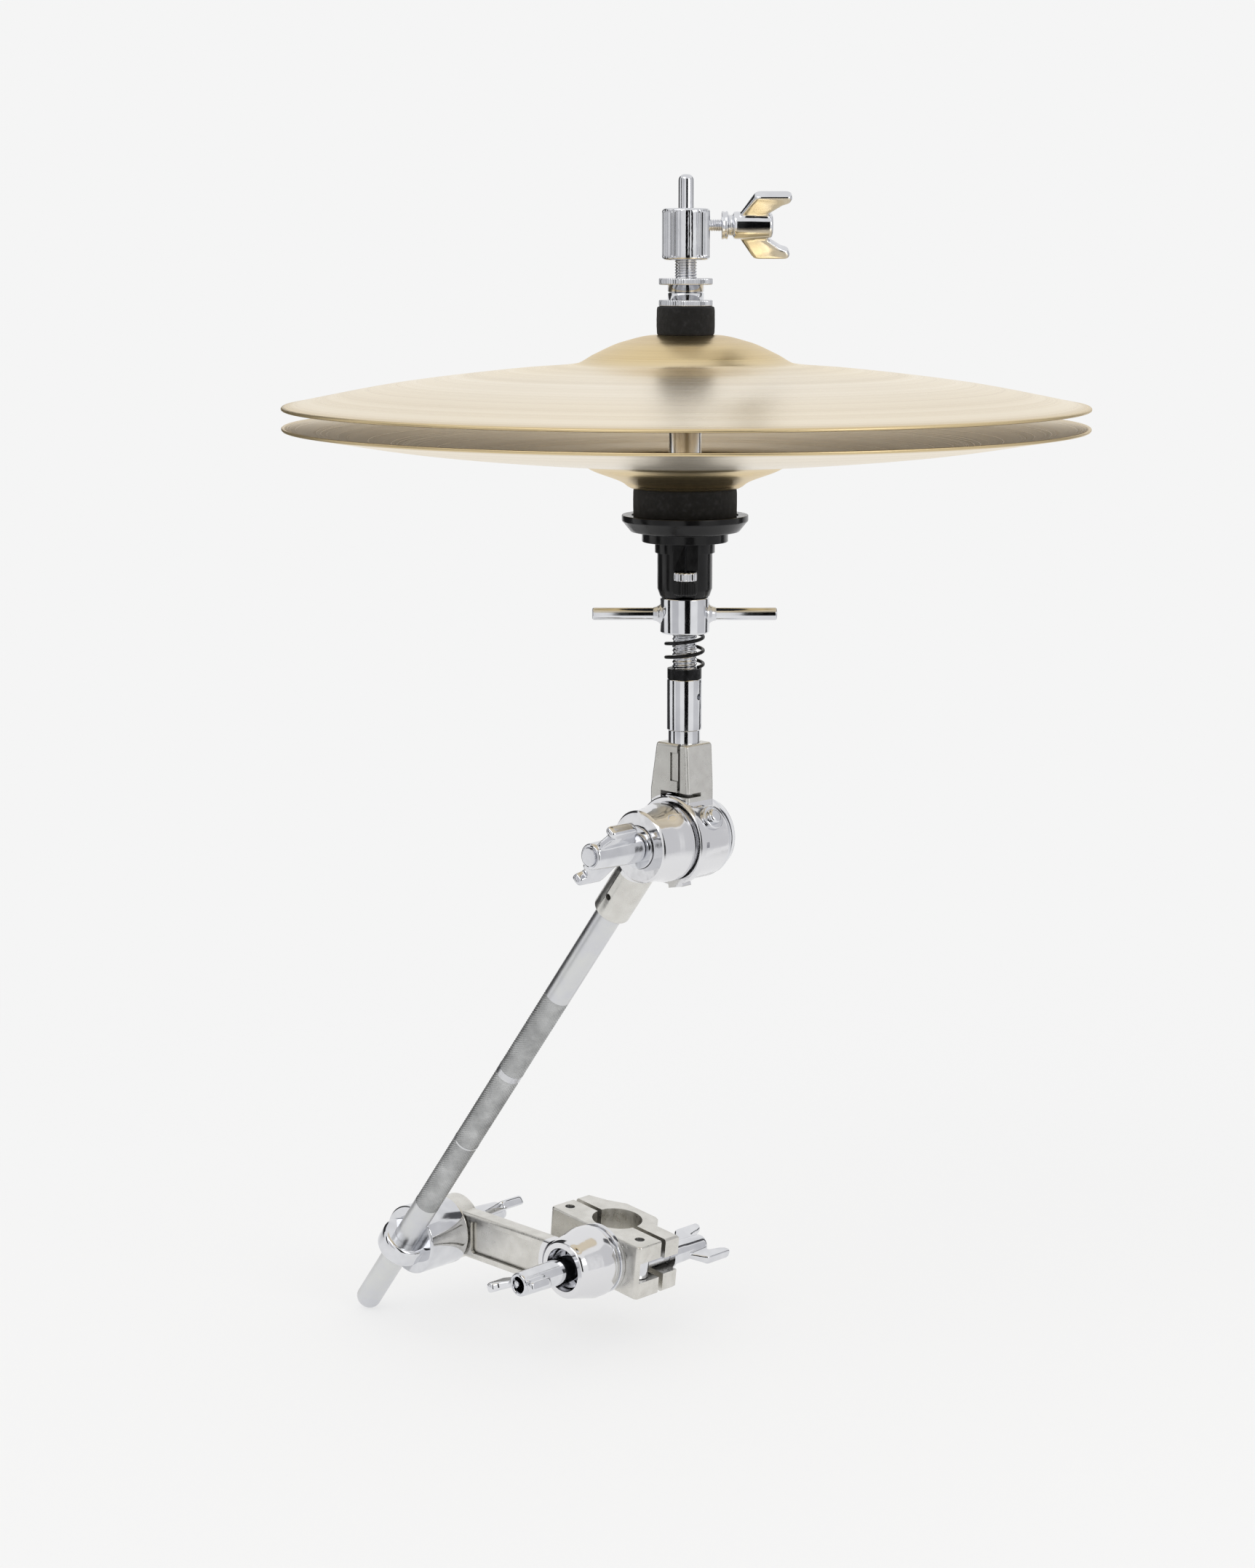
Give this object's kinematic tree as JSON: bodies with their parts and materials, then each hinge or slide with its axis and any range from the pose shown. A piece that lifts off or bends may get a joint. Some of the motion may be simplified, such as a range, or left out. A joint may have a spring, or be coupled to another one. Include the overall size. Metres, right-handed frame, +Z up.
{
  "type": "closed hi-hat on clamp arm",
  "caption": "Pair of closed hi-hat cymbals on a clutch and felt seat, carried by a tilter and boom arm on a swivelling tube clamp.",
  "frame": {"origin": "centre of the stand tube gripped by the clamp, at half the jaws' height", "axes": "+Z up along the cymbal axis; +Y along the swivel axes from the boom side towards the rear jaw; +X from the boom clamp towards the swivel"},
  "size_m": [0.3885, 0.3556, 0.5688],
  "materials": {
    "chrome_bright": "mirror chrome plate",
    "zinc_satin": "satin plated zinc casting",
    "knurled_steel": "fine knurl, matte plate",
    "bronze": "lathed bell bronze",
    "black_plastic": "moulded gloss black",
    "black_steel": "black oxide",
    "felt": "pressed wool felt"
  },
  "bodies": {
    "clamp": {"front_jaw": "zinc_satin", "jaw_hinge_pin": "chrome_bright", "jaw_bolt_pin": "chrome_bright", "jaw_swing_bolt": "chrome_bright", "swivel_disc_inner": "chrome_bright", "swivel_disc_outer": "chrome_bright", "swivel_stud": "chrome_bright"},
    "rear_jaw": {"rear_jaw": "zinc_satin"},
    "jaw_washer": {"jaw_washer": "chrome_bright"},
    "jaw_wing_nut": {"jaw_wing_nut": "chrome_bright"},
    "link": {"link_bar": "zinc_satin", "boom_washer": "chrome_bright"},
    "swivel_wing_nut": {"swivel_wing_nut": "chrome_bright"},
    "boom_clamp": {"boom_cup": "chrome_bright", "boom_eye": "chrome_bright", "boom_eye_stud": "chrome_bright"},
    "boom_wing_nut": {"boom_wing_nut": "chrome_bright"},
    "boom": {"boom_tube": "chrome_bright", "boom_knurl_upper": "knurled_steel", "boom_knurl_middle": "knurled_steel", "boom_knurl_lower": "knurled_steel", "arm_barrel": "zinc_satin", "tilter_washer": "chrome_bright"},
    "tilter_head": {"tilter_head": "zinc_satin", "head_cap": "chrome_bright", "head_screw": "chrome_bright", "tilter_bolt": "chrome_bright"},
    "tilter_wing_nut": {"tilter_wing_nut": "chrome_bright"},
    "key_bolt": {"key_bolt": "chrome_bright"},
    "stem": {"stem": "chrome_bright", "sleeve": "chrome_bright", "spring_seat": "black_steel", "threaded_rod": "chrome_bright", "pull_rod": "chrome_bright", "spring": "black_steel"},
    "seat_base": {"seat_base": "black_plastic"},
    "handle": {"handle_hub": "chrome_bright", "handle_rods": "chrome_bright"},
    "tilt_screw": {"tilt_screw": "chrome_bright", "tilt_knob": "black_plastic"},
    "seat_cup": {"seat_cup": "black_plastic", "seat_felt": "felt"},
    "bottom_cymbal": {"bottom_cymbal": "bronze"},
    "clutch": {"clutch_body": "chrome_bright", "clutch_tube": "chrome_bright", "clutch_felt": "felt", "lower_clutch_felt": "felt"},
    "clutch_wing_screw": {"clutch_wing_screw": "chrome_bright"},
    "upper_lock_nut": {"upper_lock_nut": "chrome_bright"},
    "lower_lock_nut": {"lower_lock_nut": "chrome_bright"},
    "clutch_bottom_nut": {"clutch_bottom_nut": "chrome_bright"},
    "top_cymbal": {"top_cymbal": "bronze"}
  },
  "joints": [
    {"name": "jaw_open", "type": "hinge", "parent": "clamp", "child": "rear_jaw", "pos_m": [-0.02486, -0.009, 0.00261], "axis": [0.1045, 0, 0.9945], "range_deg": [0, 8]},
    {"name": "jaw_nut_travel", "type": "slide", "parent": "clamp", "child": "jaw_washer", "axis": [0, 1, 0], "range_m": [0, 0.0082]},
    {"name": "jaw_nut_turn", "type": "hinge", "parent": "jaw_washer", "child": "jaw_wing_nut", "pos_m": [0.02486, 0.02, -0.00261], "axis": [0, 1, 0], "range_deg": [0, 2880]},
    {"name": "swivel_turn", "type": "hinge", "parent": "clamp", "child": "link", "pos_m": [0.00696, -0.0226, -0.00073], "axis": [0, 1, 0], "range_deg": [-180, 180]},
    {"name": "swivel_nut_turn", "type": "hinge", "parent": "clamp", "child": "swivel_wing_nut", "pos_m": [0.00696, -0.0636, -0.00073], "axis": [0, 1, 0], "range_deg": [-360, 0]},
    {"name": "boom_clamp_turn", "type": "hinge", "parent": "link", "child": "boom_clamp", "pos_m": [-0.08004, -0.0539, -0.00073], "axis": [0, 1, 0], "range_deg": [-100, 25]},
    {"name": "boom_nut_turn", "type": "hinge", "parent": "boom_clamp", "child": "boom_wing_nut", "pos_m": [-0.08004, -0.0176, -0.00073], "axis": [0, 1, 0], "range_deg": [0, 360]},
    {"name": "boom_slide", "type": "slide", "parent": "boom_clamp", "child": "boom", "axis": [0.6074, 0, 0.7944], "range_m": [-0.18, 0.035]},
    {"name": "tilter_tilt", "type": "hinge", "parent": "boom", "child": "tilter_head", "pos_m": [0.09707, -0.06185, 0.23092], "axis": [0, 1, 0], "range_deg": [-90, 90]},
    {"name": "tilter_nut_turn", "type": "hinge", "parent": "tilter_head", "child": "tilter_wing_nut", "pos_m": [0.09707, -0.09165, 0.23092], "axis": [0, 1, 0], "range_deg": [-360, 0]},
    {"name": "key_bolt_turn", "type": "hinge", "parent": "tilter_head", "child": "key_bolt", "pos_m": [0.07967, -0.0506, 0.24842], "axis": [-1, 0, 0], "range_deg": [0, 360]},
    {"name": "stem_turn", "type": "hinge", "parent": "tilter_head", "child": "stem", "pos_m": [0.09707, -0.0521, 0.28092], "axis": [0, 0, 1], "range_deg": [-180, 180]},
    {"name": "handle_turn", "type": "hinge", "parent": "seat_base", "child": "handle", "pos_m": [0.09707, -0.0521, 0.33345], "axis": [0, 0, 1], "range_deg": [-720, 720]},
    {"name": "seat_lift", "type": "slide", "parent": "stem", "child": "seat_base", "axis": [0, 0, 1], "range_m": [-0.0035, 0.0035], "deforming": ["spring"]},
    {"name": "tilt_screw_turn", "type": "hinge", "parent": "seat_base", "child": "tilt_screw", "pos_m": [0.10718, -0.06221, 0.35392], "axis": [0, 0, 1], "range_deg": [0, 180]},
    {"name": "seat_tilt", "type": "hinge", "parent": "seat_base", "child": "seat_cup", "pos_m": [0.0876, -0.04263, 0.36592], "axis": [-0.7071, -0.7071, 0], "range_deg": [0, 1.28]},
    {"name": "bottom_cymbal_spin", "type": "hinge", "parent": "seat_cup", "child": "bottom_cymbal", "pos_m": [0.09707, -0.0521, 0.38992], "axis": [0, 0, 1], "continuous": true},
    {"name": "clutch_slide", "type": "slide", "parent": "stem", "child": "clutch", "axis": [0, 0, 1], "range_m": [-0.004, 0.012]},
    {"name": "clutch_screw_turn", "type": "hinge", "parent": "clutch", "child": "clutch_wing_screw", "pos_m": [0.11829, -0.03089, 0.50442], "axis": [0.7071, 0.7071, 0], "range_deg": [-360, 0]},
    {"name": "upper_lock_nut_turn", "type": "hinge", "parent": "clutch", "child": "upper_lock_nut", "pos_m": [0.09707, -0.0521, 0.48162], "axis": [0, 0, 1], "range_deg": [0, 360]},
    {"name": "lower_lock_nut_turn", "type": "hinge", "parent": "clutch", "child": "lower_lock_nut", "pos_m": [0.09707, -0.0521, 0.46942], "axis": [0, 0, 1], "range_deg": [0, 360]},
    {"name": "bottom_nut_turn", "type": "hinge", "parent": "clutch", "child": "clutch_bottom_nut", "pos_m": [0.09707, -0.0521, 0.44662], "axis": [0, 0, 1], "range_deg": [0, 360]},
    {"name": "top_cymbal_spin", "type": "hinge", "parent": "clutch", "child": "top_cymbal", "pos_m": [0.09707, -0.0521, 0.45692], "axis": [0, 0, 1], "continuous": true}
  ],
  "couplings": [
    {"joint": "jaw_open", "follows": "jaw_nut_turn", "ratio": 0.0027441},
    {"joint": "jaw_nut_travel", "follows": "jaw_nut_turn", "m_per_rad": 0.00015915},
    {"joint": "handle_turn", "follows": "seat_lift", "rad_per_m": 3590.4},
    {"joint": "tilt_screw_turn", "follows": "seat_tilt", "ratio": 140.74}
  ]
}
